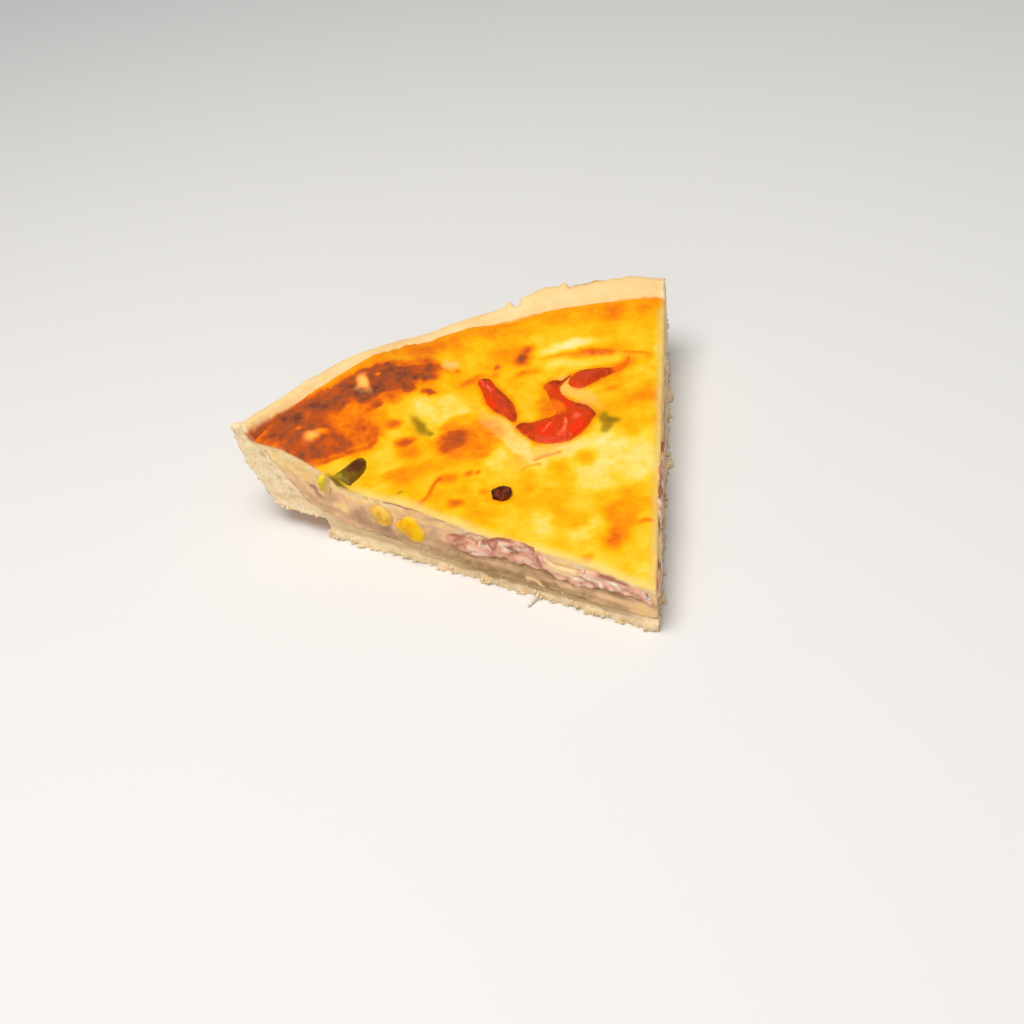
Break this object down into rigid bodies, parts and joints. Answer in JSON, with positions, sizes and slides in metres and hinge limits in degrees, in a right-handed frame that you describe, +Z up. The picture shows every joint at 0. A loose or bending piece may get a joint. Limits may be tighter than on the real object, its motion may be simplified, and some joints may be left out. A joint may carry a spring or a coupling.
{
  "type": "slice of quiche",
  "caption": "Wedge of deep baked egg-custard tart in shortcrust pastry, with a folded ham layer, pepper strips and sweetcorn, lying on its flat base.",
  "frame": {"origin": "under the middle of the slice's box, on the surface that it lies on", "axes": "+Z up; +Y along the middle line of the slice, from its tip to the pastry rim; +X towards the right-hand cut, across the rim"},
  "size_m": [0.149, 0.1363, 0.0346],
  "materials": {
    "shortcrust": "dry baked shortcrust pastry, pale cream, crumbly and matt",
    "custard": "set egg custard, moist and pale at the cuts, baked yellow to red-brown on top",
    "ham": "cooked ham in folds, pink and moist",
    "red_pepper": "roasted red pepper, soft skin with a wet gloss",
    "green_pepper": "roasted green pepper, olive brown, slight gloss",
    "sweetcorn": "cooked sweetcorn, yellow, moist skin",
    "charred_pepper": "scrap of pepper baked almost black"
  },
  "bodies": {
    "root": {"pastry_crust": "shortcrust", "custard_filling": "custard", "ham_layer": "ham", "sweetcorn_bright": "sweetcorn", "sweetcorn_pale": "sweetcorn", "sweetcorn_edge": "sweetcorn", "red_pepper_strip_left": "red_pepper", "red_pepper_strip_right": "red_pepper", "red_pepper_curl": "red_pepper", "green_pepper_strip": "green_pepper", "charred_pepper_bit": "charred_pepper"}
  },
  "joints": []
}
